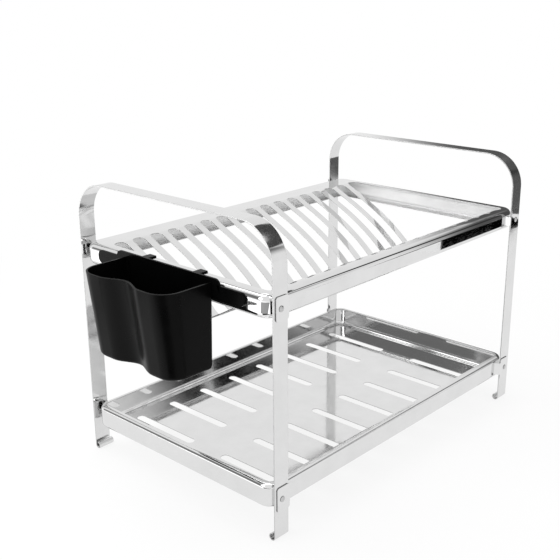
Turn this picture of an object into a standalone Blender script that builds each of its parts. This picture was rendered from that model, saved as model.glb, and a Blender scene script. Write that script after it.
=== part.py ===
"""Two-tier dish drainer: two bent strip end frames, a slotted lower tray, an upper plate rack
whose slats dip in the middle, and a two-lobed cutlery holder hooked over the rack's left end.

Metres, +Z up. The posts run along Z, the trays' long side along X, and the front is at -Y.
The origin is the middle of the whole object's base, holder included.
"""
import bmesh
import bpy
import math
from mathutils import Matrix, Vector

# Overall frame
LENGTH = 0.440
DEPTH = 0.284
HEIGHT = 0.316

# Fits between pieces
FIT_GAP = 0.0003
CUT_OVERRUN = 0.004
MERGE_DISTANCE = 0.00001

# End frames, bent from flat strip
STRIP_WIDTH = 0.0195
STRIP_THICKNESS = 0.0012
STRIP_BEND_RADIUS = 0.039
FOOT_ROLL_RADIUS = 0.004
FOOT_ROLL_TURN = 280
FOOT_ROLL_STEP = 20
BEND_STEPS = 12

# Sheet metal of both trays
SHEET_THICKNESS = 0.0008
CORNER_RADIUS = 0.015
CORNER_STEPS = 5
FOLD_STEPS = 3
SLOT_END_STEPS = 8

# Lower tray: borders and band are the plain metal left around its two rows of slots
TRAY_SETBACK = 0.005
TRAY_UNDERSIDE = 0.0305
TRAY_WALL_HEIGHT = 0.0265
TRAY_FLOOR_BEND = 0.006
TRAY_LIP_BEND = 0.005
TRAY_LIP_WIDTH = 0.002
TRAY_SLOT_PITCH = 0.050
TRAY_SLOT_WIDTH = 0.010
TRAY_END_BORDER = 0.040
TRAY_SIDE_BORDER = 0.025
TRAY_MIDDLE_BAND = 0.046

# Upper rack: a slat is what is left between two slots
RACK_SETBACK = 0.005
RACK_DROP = 0.066
RACK_WALL_HEIGHT = 0.024
RACK_RIM_BEND = 0.0075
RACK_LIP_BEND = 0.0065
RACK_LIP_WIDTH = 0.004
RACK_SLOT_PITCH = 0.0249
RACK_SLOT_WIDTH = 0.0154
RACK_END_BORDER = 0.0131
RACK_FRONT_LAND = 0.002
RACK_BACK_LAND = 0.0245

# Dip of the rack's slats, seen along X: steep and curved behind its lowest line, near straight in front
DIP_DEPTH = 0.067
DIP_LOWEST_OFFSET = 0.005
DIP_FRONT_FLAT = 0.004
DIP_BACK_FLAT = 0.004
DIP_ROUNDING = 0.004
DIP_STATIONS = 32
DIP_BACK_LINEAR_SHARE = 0.75
DIP_BACK_POWER = 3.2
DIP_FRONT_POWER = 1.05
DIP_SAMPLES = 4

# Ears of the trays, joggled out over the posts
EAR_END_INSET = 0.0029
EAR_END_ROUNDING = 0.003
EAR_JOG_CLEARANCE = 0.0006
EAR_JOG_RUN = 0.005
EAR_ROOT_LENGTH = 0.006
EAR_ROOT_STEP = 0.00005
EAR_ROUNDING_STEPS = 3

# Rivets
RIVET_SHANK_RADIUS = 0.0016
RIVET_HEAD_RADIUS = 0.0031
RIVET_HEAD_HEIGHT = 0.0009
RIVET_TAIL_RADIUS = 0.0026
RIVET_TAIL_HEIGHT = 0.0008
RIVET_STEPS = 14
RIVET_DOME_STEPS = 3

# Cutlery holder
HOLDER_REACH = 0.0635
HOLDER_HALF_WIDTH = 0.0635
HOLDER_RIM_DROP = 0.001
HOLDER_HEIGHT = 0.090
HOLDER_WALL = 0.002
HOLDER_BACK_STEP = 0.0001
HOLDER_CUP_OFFSET = 0.0025
HOLDER_VALLEY_DEPTH = 0.009
HOLDER_VALLEY_HALF = 0.030
HOLDER_FRONT_ROUNDING = 0.022
HOLDER_BACK_ROUNDING = 0.004
HOLDER_BASE_REACH = 0.053
HOLDER_BASE_HALF_WIDTH = 0.061
HOLDER_BASE_ROUNDING = 0.005
HOLDER_VALLEY_STEPS = 8
HOLDER_CORNER_STEPS = 6
DRAIN_RADIUS = 0.003
DRAIN_PITCH = 0.022
DRAIN_ROW_PITCH = 0.020
DRAIN_COLUMNS = 4
DRAIN_ROWS = 2
DRAIN_STEPS = 12

# Hanger of the holder: a plate on the rack's end wall, a raised back and two hooks
HANGER_THICKNESS = 0.0022
HANGER_HALF_WIDTH = 0.108
HANGER_HEIGHT = 0.0145
HANGER_DROP = 0.0025
HANGER_ROUNDING = 0.0065
BACK_HALF_WIDTH = 0.076
BACK_RISE = 0.0035
HOOK_WIDTH = 0.010
HOOK_THICKNESS = 0.0012
HOOK_SPACING = 0.076
HOOK_DROP = 0.010

# Finishes: colour, metallic, roughness
POLISHED_STEEL = (0.80, 0.80, 0.81)
STEEL_ROUGHNESS = 0.12
BLACK_PLASTIC = (0.012, 0.012, 0.013)
PLASTIC_ROUGHNESS = 0.35

# Places worked out from the sizes above
RACK_X = HOLDER_REACH / 2
LEFT_FACE = RACK_X - LENGTH / 2
POST_FACE = DEPTH / 2
EAR_FACE = POST_FACE + FIT_GAP + SHEET_THICKNESS
TRAY_FACE = POST_FACE - TRAY_SETBACK
TRAY_TOP = TRAY_UNDERSIDE + TRAY_WALL_HEIGHT
RACK_FACE = POST_FACE - RACK_SETBACK
RACK_TOP = HEIGHT - RACK_DROP
RACK_UNDERSIDE = RACK_TOP - RACK_WALL_HEIGHT
HOLDER_RIM = RACK_TOP - HOLDER_RIM_DROP
HOLDER_UNDERSIDE = HOLDER_RIM - HOLDER_HEIGHT
HANGER_TOP = RACK_TOP - HANGER_DROP
HANGER_UNDERSIDE = HANGER_TOP - HANGER_HEIGHT
BACK_TOP = RACK_TOP + BACK_RISE
CUP_Y = -HOLDER_CUP_OFFSET


def clear_scene():
    for thing in list(bpy.data.objects):
        bpy.data.objects.remove(thing, do_unlink=True)


def new_collection(name):
    collection = bpy.data.collections.new(name)
    bpy.context.scene.collection.children.link(collection)
    return collection


def finish(name, colour, metallic, roughness):
    material = bpy.data.materials.new(name)
    material.use_nodes = True
    shader = material.node_tree.nodes["Principled BSDF"]
    shader.inputs["Base Color"].default_value = (*colour, 1)
    shader.inputs["Metallic"].default_value = metallic
    shader.inputs["Roughness"].default_value = roughness
    return material


def steel(piece_name):
    return finish(piece_name + "_steel", POLISHED_STEEL, 1, STEEL_ROUGHNESS)


def add_object(name, bm, collection, material=None):
    mesh = bpy.data.meshes.new(name)
    bm.to_mesh(mesh)
    bm.free()
    if material:
        mesh.materials.append(material)
    thing = bpy.data.objects.new(name, mesh)
    collection.objects.link(thing)
    return thing


def shade(thing, sharp_degrees=30):
    thing.data.shade_smooth()
    thing.data.set_sharp_from_angle(angle=math.radians(sharp_degrees))


def add_cutter(name, bm):
    cutter = add_object(name, bm, cutters)
    cutter.hide_render = True
    cutter.display_type = "WIRE"
    return cutter


def combine(thing, other, operation):
    modifier = thing.modifiers.new(other.name, "BOOLEAN")
    modifier.operation = operation
    modifier.solver = "EXACT"
    modifier.object = other


def thicken(thing, thickness, offset):
    modifier = thing.modifiers.new("Wall", "SOLIDIFY")
    modifier.thickness = thickness
    modifier.offset = offset
    modifier.use_even_offset = True


def face_outwards(bm, is_outward):
    """Give an open surface one direction, and turn it over if its first face fails the test."""
    bmesh.ops.recalc_face_normals(bm, faces=bm.faces)
    bm.normal_update()
    if not is_outward(bm):
        bmesh.ops.reverse_faces(bm, faces=bm.faces)


def arc(centre, radius, start, end, steps):
    """Points on an arc, angles in degrees, both ends included."""
    points = []
    for step in range(steps + 1):
        angle = math.radians(start + (end - start) * step / steps)
        points.append((centre[0] + radius * math.cos(angle), centre[1] + radius * math.sin(angle)))
    return points


def ring(bm, points, place):
    """A closed loop of edges through points, put in space by place."""
    verts = [bm.verts.new(place(*point)) for point in points]
    return [bm.edges.new((verts[i - 1], verts[i])) for i in range(len(verts))]


def chain(bm, points, place):
    """An open run of edges through points, put in space by place."""
    verts = [bm.verts.new(place(*point)) for point in points]
    return [bm.edges.new(pair) for pair in zip(verts, verts[1:])]


def rounded_rectangle(half_x, half_y, radius, steps):
    points = []
    for quarter, (sign_x, sign_y) in enumerate(((1, 1), (-1, 1), (-1, -1), (1, -1))):
        centre = (sign_x * (half_x - radius), sign_y * (half_y - radius))
        points += arc(centre, radius, 90 * quarter, 90 * quarter + 90, steps)
    return points


def spread(span, wanted_pitch):
    """Places spaced evenly over a span, as near to the wanted pitch as fits."""
    gaps = max(1, round(span / wanted_pitch))
    return [span * step / gaps - span / 2 for step in range(gaps + 1)]


def slot_outline(centre_x, centre_y, width, length):
    """A slot with round ends, long along Y."""
    radius = width / 2
    reach = length / 2 - radius
    points = arc((centre_x, centre_y + reach), radius, 0, 180, SLOT_END_STEPS)
    points += arc((centre_x, centre_y - reach), radius, 180, 360, SLOT_END_STEPS)
    return points


def slotted_sheet(half_x, half_y, radius, slots, height):
    """A flat sheet with round corners and slots, as an open surface at one height."""
    bm = bmesh.new()
    edges = ring(bm, rounded_rectangle(half_x, half_y, radius, CORNER_STEPS),
                 lambda x, y: (RACK_X + x, y, height))
    for slot in slots:
        edges += ring(bm, slot, lambda x, y: (RACK_X + x, y, height))
    bmesh.ops.triangle_fill(bm, edges=edges, use_beauty=True, normal=Vector((0, 0, 1)))
    return bm


def way_from_core(point, half_x, half_y, radius):
    """The way, in plan, to a point from a rounded rectangle's core, which lies a radius inside its edge."""
    core_x = half_x - radius
    core_y = half_y - radius
    x = point.x - RACK_X
    nearest = Vector((max(-core_x, min(core_x, x)), max(-core_y, min(core_y, point.y))))
    return Vector((x, point.y)) - nearest


def fold_rim(bm, half_x, half_y, radius, profile):
    """Extrude a sheet's outer edge through a profile of outward and upward steps."""
    ways = {vert: way_from_core(vert.co, half_x, half_y, radius) for vert in bm.verts}
    rim = [edge for edge in bm.edges
           if edge.is_boundary and all(ways[vert].length > radius - MERGE_DISTANCE for vert in edge.verts)]
    starts = {vert: (vert.co.copy(), ways[vert].normalized()) for edge in rim for vert in edge.verts}
    for outward, upward in profile:
        grown = bmesh.ops.extrude_edge_only(bm, edges=rim)["geom"]
        rim = [item for item in grown if isinstance(item, bmesh.types.BMEdge) and item.is_boundary]
        moved = {}
        for vert in {vert for edge in rim for vert in edge.verts}:
            source = next(edge.other_vert(vert) for edge in vert.link_edges
                          if edge.other_vert(vert) in starts)
            place, normal = starts[source]
            vert.co = place + Vector((*(normal * outward), upward))
            moved[vert] = (place, normal)
        starts = moved


def fold_profile(bend, wall_height, lip_bend, lip_width, upward):
    """Outward and upward steps of a folded rim: bend, wall, second bend and a turned-in lip."""
    steps = []
    for outward, rise in arc((0, bend), bend, -90, 0, FOLD_STEPS)[1:]:
        steps.append((outward, rise))
    lip_centre = (bend - lip_bend, wall_height - lip_bend)
    steps += arc(lip_centre, lip_bend, 0, 90, FOLD_STEPS)
    steps.append((lip_centre[0] - lip_width, wall_height))
    return [(outward, rise * upward) for outward, rise in steps]


def ear_surface(side_x, side_y, wall_face, levels, flat_levels):
    """An ear's outer face: a neck from the wall through a slanted jog, and a taller plate on the post."""
    end = LENGTH / 2 - EAR_END_INSET
    jog_out = LENGTH / 2 - STRIP_WIDTH - EAR_JOG_CLEARANCE
    jog_in = jog_out - EAR_JOG_RUN
    root = jog_in - EAR_ROOT_LENGTH
    root_face = wall_face + EAR_ROOT_STEP
    bm = bmesh.new()
    rows = []
    for x, y in ((root, root_face), (jog_in, root_face), (jog_out, EAR_FACE)):
        place = (RACK_X + side_x * x, side_y * y)
        rows.append(chain(bm, [(height,) for height in flat_levels], lambda z: (*place, z))[0])
    for first, second in zip(rows, rows[1:]):
        bmesh.ops.bridge_loops(bm, edges=[first, second])
    neck_low, neck_high = sorted(rows[-1].verts, key=lambda vert: vert.co.z)
    outline = ((jog_out, levels[0]), (end, levels[0]), (end, levels[1]), (jog_out, levels[1]))
    corners = [bm.verts.new((RACK_X + side_x * x, side_y * EAR_FACE, z)) for x, z in outline]
    bm.faces.new([neck_low, *corners, neck_high])
    bmesh.ops.bevel(bm, geom=corners, offset=EAR_END_ROUNDING, segments=EAR_ROUNDING_STEPS,
                    profile=0.5, affect="VERTICES", material=-1)
    face_outwards(bm, lambda mesh: sum(face.normal.y for face in mesh.faces) * side_y > 0)
    return bm


def rivet_hole(side_x, side_y, height):
    """A round cutter along Y through an ear and the post behind it."""
    bm = bmesh.new()
    low = POST_FACE - STRIP_THICKNESS - CUT_OVERRUN / 2
    high = EAR_FACE + CUT_OVERRUN / 2
    points = arc((0, 0), RIVET_SHANK_RADIUS + FIT_GAP, 0, 360, RIVET_STEPS)[:-1]
    centre_x = RACK_X + side_x * (LENGTH - STRIP_WIDTH) / 2
    edges = ring(bm, points, lambda x, z: (centre_x + x, side_y * low, height + z))
    face = bmesh.ops.contextual_create(bm, geom=edges)["faces"]
    grown = bmesh.ops.extrude_face_region(bm, geom=face)["geom"]
    moving = [item for item in grown if isinstance(item, bmesh.types.BMVert)]
    bmesh.ops.translate(bm, verts=moving, vec=(0, side_y * (high - low), 0))
    bmesh.ops.recalc_face_normals(bm, faces=bm.faces)
    return bm


def add_ears(tray, wall_face, levels, flat_levels):
    """Join four ears to a tray and drill each one for its rivet."""
    for label, side_x, side_y in CORNERS:
        bm = ear_surface(side_x, side_y, wall_face, levels, flat_levels)
        ear = add_cutter(tray.name + "_ear_" + label, bm)
        thicken(ear, SHEET_THICKNESS, -1)
        combine(tray, ear, "UNION")
    for label, side_x, side_y in CORNERS:
        hole = rivet_hole(side_x, side_y, sum(levels) / 2)
        combine(tray, add_cutter(tray.name + "_hole_" + label, hole), "DIFFERENCE")


def end_frame_path():
    """The strip's middle line in the YZ plane, from the front foot's roll to the back foot's."""
    half = STRIP_THICKNESS / 2
    roll = FOOT_ROLL_RADIUS - half
    roll_centre = (-POST_FACE + FOOT_ROLL_RADIUS,
                   half + roll * math.cos(math.radians(FOOT_ROLL_STEP / 2)))
    roll_steps = FOOT_ROLL_TURN // FOOT_ROLL_STEP
    front = arc(roll_centre, roll, 180 + FOOT_ROLL_TURN, 180, roll_steps)
    bend_centre = (-POST_FACE + STRIP_BEND_RADIUS, HEIGHT - STRIP_BEND_RADIUS)
    front += arc(bend_centre, STRIP_BEND_RADIUS - half, 180, 90, BEND_STEPS)
    return front + [(-y, z) for y, z in reversed(front)]


def end_frame(name, side_x):
    """One strip bent to an upside-down U, with its feet rolled inwards."""
    outer = RACK_X + side_x * LENGTH / 2
    bm = bmesh.new()
    edges = chain(bm, end_frame_path(), lambda y, z: (outer, y, z))
    grown = bmesh.ops.extrude_edge_only(bm, edges=edges)["geom"]
    moving = [item for item in grown if isinstance(item, bmesh.types.BMVert)]
    bmesh.ops.translate(bm, verts=moving, vec=(-side_x * STRIP_WIDTH, 0, 0))
    bmesh.ops.recalc_face_normals(bm, faces=bm.faces)
    frame = add_object(name, bm, drainer, steel(name))
    thicken(frame, STRIP_THICKNESS, 0)
    for label, corner_x, side_y in CORNERS:
        if corner_x == side_x:
            for level, height in RIVET_LEVELS:
                hole = rivet_hole(corner_x, side_y, height)
                combine(frame, add_cutter("_".join((name, level, label)), hole), "DIFFERENCE")
    shade(frame)


def lower_tray():
    """A pan with two rows of slots in its floor and a folded rim."""
    half_x = LENGTH / 2 - TRAY_FLOOR_BEND
    half_y = TRAY_FACE - TRAY_FLOOR_BEND
    radius = CORNER_RADIUS - TRAY_FLOOR_BEND
    slot_length = (DEPTH - TRAY_MIDDLE_BAND) / 2 - TRAY_SIDE_BORDER
    row_offset = (TRAY_MIDDLE_BAND + slot_length) / 2
    slots = []
    for x in spread(LENGTH - 2 * TRAY_END_BORDER - TRAY_SLOT_WIDTH, TRAY_SLOT_PITCH):
        for y in (-row_offset, row_offset):
            slots.append(slot_outline(x, y, TRAY_SLOT_WIDTH, slot_length))
    bm = slotted_sheet(half_x, half_y, radius, slots, TRAY_UNDERSIDE)
    profile = fold_profile(TRAY_FLOOR_BEND, TRAY_WALL_HEIGHT, TRAY_LIP_BEND, TRAY_LIP_WIDTH, 1)
    fold_rim(bm, half_x, half_y, radius, profile)
    face_outwards(bm, lambda mesh: lowest_face(mesh).normal.z < 0)
    tray = add_object("lower_tray", bm, drainer, steel("lower_tray"))
    thicken(tray, SHEET_THICKNESS, -1)
    add_ears(tray, TRAY_FACE, (TRAY_UNDERSIDE, TRAY_TOP),
             (TRAY_UNDERSIDE + TRAY_FLOOR_BEND, TRAY_TOP - TRAY_LIP_BEND))
    shade(tray)


def lowest_face(mesh):
    return min(mesh.faces, key=lambda face: face.calc_center_median().z)


def highest_face(mesh):
    return max(mesh.faces, key=lambda face: face.calc_center_median().z)


def sharp_dip(y, front, back):
    """How far a slat lies below the rack's top, before its bends are rounded."""
    lowest = -DIP_LOWEST_OFFSET
    if y > lowest:
        left = 1 - min((y - lowest) / (back - lowest), 1)
        return DIP_DEPTH * (DIP_BACK_LINEAR_SHARE * left + (1 - DIP_BACK_LINEAR_SHARE) * left ** DIP_BACK_POWER)
    return DIP_DEPTH * (1 - min((lowest - y) / (lowest - front), 1) ** DIP_FRONT_POWER)


def rounded_dip(y, front, back):
    """The dip averaged over the rounding width, which rounds its three bends."""
    total = 0
    for sample in range(-DIP_SAMPLES, DIP_SAMPLES + 1):
        total += sharp_dip(y + DIP_ROUNDING * sample / DIP_SAMPLES, front, back)
    return total / (2 * DIP_SAMPLES + 1)


def press_slats(bm, slat_reach, front, back):
    """Cut the slats across at each station and press them down along the dip."""
    start = front - DIP_ROUNDING
    end = back + DIP_ROUNDING
    for station in range(DIP_STATIONS + 1):
        y = start + (end - start) * station / DIP_STATIONS
        faces = [face for face in bm.faces if abs(face.calc_center_median().x - RACK_X) < slat_reach]
        edges = {edge for face in faces for edge in face.edges}
        verts = {vert for edge in edges for vert in edge.verts}
        bmesh.ops.bisect_plane(bm, geom=[*faces, *edges, *verts], dist=MERGE_DISTANCE,
                               plane_co=(0, y, 0), plane_no=(0, 1, 0))
    for vert in bm.verts:
        if abs(vert.co.x - RACK_X) < slat_reach and start < vert.co.y < end:
            vert.co.z -= rounded_dip(vert.co.y, front, back)


def upper_rack():
    """A folded rim round a row of slats, all from one sheet, the slats pressed down in the middle."""
    half_x = LENGTH / 2 - RACK_RIM_BEND
    half_y = RACK_FACE - RACK_RIM_BEND
    radius = CORNER_RADIUS - RACK_RIM_BEND
    slot_front = RACK_FRONT_LAND - half_y
    slot_back = half_y - RACK_BACK_LAND
    slot_middle = (slot_front + slot_back) / 2
    slot_length = slot_back - slot_front
    slot_span = LENGTH - 2 * RACK_END_BORDER - RACK_SLOT_WIDTH
    slots = [slot_outline(x, slot_middle, RACK_SLOT_WIDTH, slot_length)
             for x in spread(slot_span, RACK_SLOT_PITCH)]
    bm = slotted_sheet(half_x, half_y, radius, slots, RACK_TOP)
    press_slats(bm, slot_span / 2, slot_front + DIP_FRONT_FLAT, slot_back - DIP_BACK_FLAT)
    profile = fold_profile(RACK_RIM_BEND, RACK_WALL_HEIGHT, RACK_LIP_BEND, RACK_LIP_WIDTH, -1)
    fold_rim(bm, half_x, half_y, radius, profile)
    face_outwards(bm, lambda mesh: highest_face(mesh).normal.z > 0)
    rack = add_object("upper_rack", bm, drainer, steel("upper_rack"))
    thicken(rack, SHEET_THICKNESS, -1)
    add_ears(rack, RACK_FACE, (RACK_UNDERSIDE, RACK_TOP),
             (RACK_UNDERSIDE + RACK_LIP_BEND, RACK_TOP - RACK_RIM_BEND))
    shade(rack)


def rivet(name, side_x, side_y, height):
    """A domed rivet turned about Y: head outside the ear, shank, and tail inside the post."""
    head_face = EAR_FACE + FIT_GAP
    tail_face = POST_FACE - STRIP_THICKNESS - FIT_GAP
    dome_radius = (RIVET_HEAD_RADIUS ** 2 + RIVET_HEAD_HEIGHT ** 2) / (2 * RIVET_HEAD_HEIGHT)
    dome_centre = head_face + RIVET_HEAD_HEIGHT - dome_radius
    rim_angle = math.degrees(math.asin(RIVET_HEAD_RADIUS / dome_radius))
    dome = arc((0, dome_centre), dome_radius, 90, 90 - rim_angle, RIVET_DOME_STEPS)
    profile = dome + [(RIVET_SHANK_RADIUS, head_face), (RIVET_SHANK_RADIUS, tail_face),
                      (RIVET_TAIL_RADIUS, tail_face), (RIVET_TAIL_RADIUS, tail_face - RIVET_TAIL_HEIGHT),
                      (0, tail_face - RIVET_TAIL_HEIGHT)]
    bm = bmesh.new()
    edges = chain(bm, profile, lambda radius, y: (radius, y, 0))
    verts = {vert for edge in edges for vert in edge.verts}
    bmesh.ops.spin(bm, geom=[*edges, *verts], cent=(0, 0, 0), axis=(0, 1, 0), angle=math.tau,
                   steps=RIVET_STEPS, use_merge=True)
    bmesh.ops.remove_doubles(bm, verts=bm.verts, dist=MERGE_DISTANCE)
    if side_y < 0:
        bmesh.ops.rotate(bm, verts=bm.verts, cent=(0, 0, 0), matrix=Matrix.Rotation(math.pi, 3, "Z"))
    bmesh.ops.recalc_face_normals(bm, faces=bm.faces)
    centre_x = RACK_X + side_x * (LENGTH - STRIP_WIDTH) / 2
    thing = add_object(name, bm, drainer, steel(name))
    thing.location = (centre_x, 0, height)
    shade(thing, 40)


def rivets():
    for level, height in RIVET_LEVELS:
        for label, side_x, side_y in CORNERS:
            rivet("_".join(("rivet", level, label)), side_x, side_y, height)


def holder_outline(reach, half_width):
    """Half of the two-lobed outline, from the valley in front round to the flat back."""
    points = []
    scale = reach / HOLDER_REACH
    for step in range(HOLDER_VALLEY_STEPS + 1):
        y = HOLDER_VALLEY_HALF * step / HOLDER_VALLEY_STEPS
        valley = HOLDER_VALLEY_DEPTH * (1 + math.cos(math.pi * y / HOLDER_VALLEY_HALF)) / 2
        points.append((-(reach - valley), y))
    front = HOLDER_FRONT_ROUNDING * scale
    points += arc((-reach + front, half_width - front), front, 180, 90, HOLDER_CORNER_STEPS)
    back = HOLDER_BACK_ROUNDING
    back_x = -FIT_GAP - HOLDER_BACK_STEP - back
    points += arc((back_x, half_width - back), back, 90, 0, HOLDER_CORNER_STEPS // 2)
    return points


def holder_loop(bm, reach, half_width, height):
    half = holder_outline(reach, half_width)
    points = half + [(x, -y) for x, y in reversed(half[1:])]
    return ring(bm, points, lambda x, y: (LEFT_FACE + x, CUP_Y + y, height))


def holder_cup():
    """The cup's outer skin: a tapered two-lobed loft with a rounded base, open at the top."""
    bm = bmesh.new()
    loops = [holder_loop(bm, HOLDER_REACH, HOLDER_HALF_WIDTH, HOLDER_RIM)]
    for angle in (0, 45, 90):
        inset = HOLDER_BASE_ROUNDING * (1 - math.cos(math.radians(angle)))
        height = HOLDER_UNDERSIDE + HOLDER_BASE_ROUNDING * (1 - math.sin(math.radians(angle)))
        loops.append(holder_loop(bm, HOLDER_BASE_REACH - inset, HOLDER_BASE_HALF_WIDTH - inset, height))
    for upper, lower in zip(loops, loops[1:]):
        bmesh.ops.bridge_loops(bm, edges=upper + lower)
    bmesh.ops.triangle_fill(bm, edges=loops[-1], use_beauty=True, normal=Vector((0, 0, -1)))
    face_outwards(bm, lambda mesh: lowest_face(mesh).normal.z < 0)
    return bm


def plate_outline(bm, half_width, low, high, radius):
    """A plate on the rack's end wall, with round corners, as an open surface facing -X."""
    centre = (low + high) / 2
    points = rounded_rectangle(half_width, (high - low) / 2, radius, HOLDER_CORNER_STEPS)
    edges = ring(bm, points, lambda y, z: (LEFT_FACE - FIT_GAP, y, centre + z))
    bmesh.ops.triangle_fill(bm, edges=edges, use_beauty=True, normal=Vector((1, 0, 0)))
    face_outwards(bm, lambda mesh: next(iter(mesh.faces)).normal.x > 0)


def hook_outline():
    """A hook's section in XZ: over the rack's end border and down into its first slot."""
    inner = RACK_END_BORDER + FIT_GAP
    seat = RACK_TOP + FIT_GAP
    top = seat + HOOK_THICKNESS
    outer = inner + HOOK_THICKNESS
    back = -FIT_GAP - HANGER_THICKNESS / 2
    return ((back, top), (outer, top), (outer, seat - HOOK_DROP), (inner, seat - HOOK_DROP), (inner, seat),
            (back, seat))


def hook(bm, centre_y):
    edges = ring(bm, hook_outline(), lambda x, z: (LEFT_FACE + x, centre_y - HOOK_WIDTH / 2, z))
    face = bmesh.ops.contextual_create(bm, geom=edges)["faces"]
    grown = bmesh.ops.extrude_face_region(bm, geom=face)["geom"]
    moving = [item for item in grown if isinstance(item, bmesh.types.BMVert)]
    bmesh.ops.translate(bm, verts=moving, vec=(0, HOOK_WIDTH, 0))
    bmesh.ops.recalc_face_normals(bm, faces=bm.faces)


def drain_cutter(x, y):
    bm = bmesh.new()
    points = arc((x, y), DRAIN_RADIUS, 0, 360, DRAIN_STEPS)[:-1]
    edges = ring(bm, points, lambda px, py: (LEFT_FACE + px, py, HOLDER_UNDERSIDE - CUT_OVERRUN / 2))
    face = bmesh.ops.contextual_create(bm, geom=edges)["faces"]
    grown = bmesh.ops.extrude_face_region(bm, geom=face)["geom"]
    moving = [item for item in grown if isinstance(item, bmesh.types.BMVert)]
    bmesh.ops.translate(bm, verts=moving, vec=(0, 0, HOLDER_WALL + CUT_OVERRUN))
    bmesh.ops.recalc_face_normals(bm, faces=bm.faces)
    return bm


def cutlery_holder():
    """The moulded cup with its hanger plate, raised back, hooks and drain holes."""
    name = "cutlery_holder"
    plastic = finish(name + "_plastic", BLACK_PLASTIC, 0, PLASTIC_ROUGHNESS)
    holder = add_object(name, holder_cup(), drainer, plastic)
    thicken(holder, HOLDER_WALL, -1)
    for label, half_width, low, high in (("hanger", HANGER_HALF_WIDTH, HANGER_UNDERSIDE, HANGER_TOP),
                                         ("back", BACK_HALF_WIDTH, HANGER_UNDERSIDE, BACK_TOP)):
        bm = bmesh.new()
        plate_outline(bm, half_width, low, high, HANGER_ROUNDING)
        plate = add_cutter(name + "_" + label, bm)
        thicken(plate, HANGER_THICKNESS, -1)
        combine(holder, plate, "UNION")
    for side in (-1, 1):
        bm = bmesh.new()
        hook(bm, side * HOOK_SPACING / 2)
        combine(holder, add_cutter(name + "_hook_" + ("front" if side < 0 else "back"), bm), "UNION")
    middle_x = -HOLDER_BASE_REACH / 2
    for row in range(DRAIN_ROWS):
        for column in range(DRAIN_COLUMNS):
            x = middle_x + (row - (DRAIN_ROWS - 1) / 2) * DRAIN_ROW_PITCH
            y = CUP_Y + (column - (DRAIN_COLUMNS - 1) / 2) * DRAIN_PITCH
            cutter = add_cutter("_".join((name, "drain", str(row), str(column))), drain_cutter(x, y))
            combine(holder, cutter, "DIFFERENCE")
    shade(holder)


CORNERS = (("front_left", -1, -1), ("front_right", 1, -1), ("back_left", -1, 1), ("back_right", 1, 1))
RIVET_LEVELS = (("lower", (TRAY_UNDERSIDE + TRAY_TOP) / 2), ("upper", (RACK_UNDERSIDE + RACK_TOP) / 2))

clear_scene()
drainer = new_collection("dish_drainer")
cutters = new_collection("cutters")
end_frame("left_end_frame", -1)
end_frame("right_end_frame", 1)
lower_tray()
upper_rack()
rivets()
cutlery_holder()
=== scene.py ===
"""Dish drainer in mirror-polished stainless steel, with a moulded black cutlery holder.

The parts in model.glb give where each piece lies. Sizes are in millimetres, which MM turns to metres,
and angles are in degrees.
"""
import math
import bmesh
import bpy
from mathutils import Matrix, Vector


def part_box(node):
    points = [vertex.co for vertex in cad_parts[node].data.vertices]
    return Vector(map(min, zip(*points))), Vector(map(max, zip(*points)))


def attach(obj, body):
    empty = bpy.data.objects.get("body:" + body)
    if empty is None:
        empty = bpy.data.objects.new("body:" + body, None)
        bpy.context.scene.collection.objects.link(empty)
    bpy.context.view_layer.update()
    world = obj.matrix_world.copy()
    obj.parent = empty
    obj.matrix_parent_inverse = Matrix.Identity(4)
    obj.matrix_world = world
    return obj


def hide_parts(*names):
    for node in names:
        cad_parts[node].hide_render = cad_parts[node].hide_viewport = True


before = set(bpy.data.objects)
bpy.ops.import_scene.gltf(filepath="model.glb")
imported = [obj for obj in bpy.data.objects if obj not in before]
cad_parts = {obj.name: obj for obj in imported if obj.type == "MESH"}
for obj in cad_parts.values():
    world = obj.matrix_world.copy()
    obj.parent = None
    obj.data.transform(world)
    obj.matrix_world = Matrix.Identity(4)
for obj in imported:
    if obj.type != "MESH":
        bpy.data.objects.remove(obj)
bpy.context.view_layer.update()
MM = 0.001

# Camera
# A long lens a little above the rack, in front of the holder's end. The steel's straight edges in
# the photograph give its place, its turn and its focal length.
CAMERA_PLACE = (-750.6 * MM, -668.1 * MM, 522.8 * MM)
CAMERA_HEADING, CAMERA_PITCH, CAMERA_ROLL = 47.378, -18.351, 0.364
SENSOR_WIDTH = 36
FOCAL_LENGTH = 59.452
camera = bpy.data.objects.new("camera", bpy.data.cameras.new("camera"))
bpy.context.scene.collection.objects.link(camera)
bpy.context.scene.camera = camera
camera.data.sensor_width = SENSOR_WIDTH
camera.data.lens = FOCAL_LENGTH
heading = Matrix.Rotation(math.radians(-CAMERA_HEADING), 4, "Z")
pitch = Matrix.Rotation(math.radians(90 + CAMERA_PITCH), 4, "X")
roll = Matrix.Rotation(math.radians(-CAMERA_ROLL), 4, "Z")
camera.matrix_world = Matrix.Translation(CAMERA_PLACE) @ heading @ pitch @ roll
bpy.context.scene.view_settings.view_transform = "Standard"


# Studio
# A pale floor that runs out to white, a bright surround with dim sides, and two soft lamps that give
# the floor its shadow. The dim sides, the floor's brighter left and seven cards that only show in
# reflections give the steel its light and dark patches.
SURROUND = "#FCFCFC"
# A dim side has a colour and, for each axis of the direction looked in, the value where it starts and
# the value where it is full. The camera sees white in its place.
DIM_SIDES = (("#5A5A5A", (("X", 0.78, 0.84), ("Z", 0.62, 0.5))),
             ("#808080", (("X", -0.45, -0.55), ("Y", 0.2, 0.3), ("Z", 0.05, 0.15), ("Z", 0.8, 0.7))),
             ("#121212", (("X", 0.54, 0.6), ("Y", -0.34, -0.44), ("Y", -0.55, -0.52),
                          ("Z", 0.12, 0.4), ("Z", 0.6, 0.5))),
             ("#121212", (("X", 0.54, 0.6), ("Y", -0.58, -0.64), ("Z", 0.12, 0.4), ("Z", 0.6, 0.5))))


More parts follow.
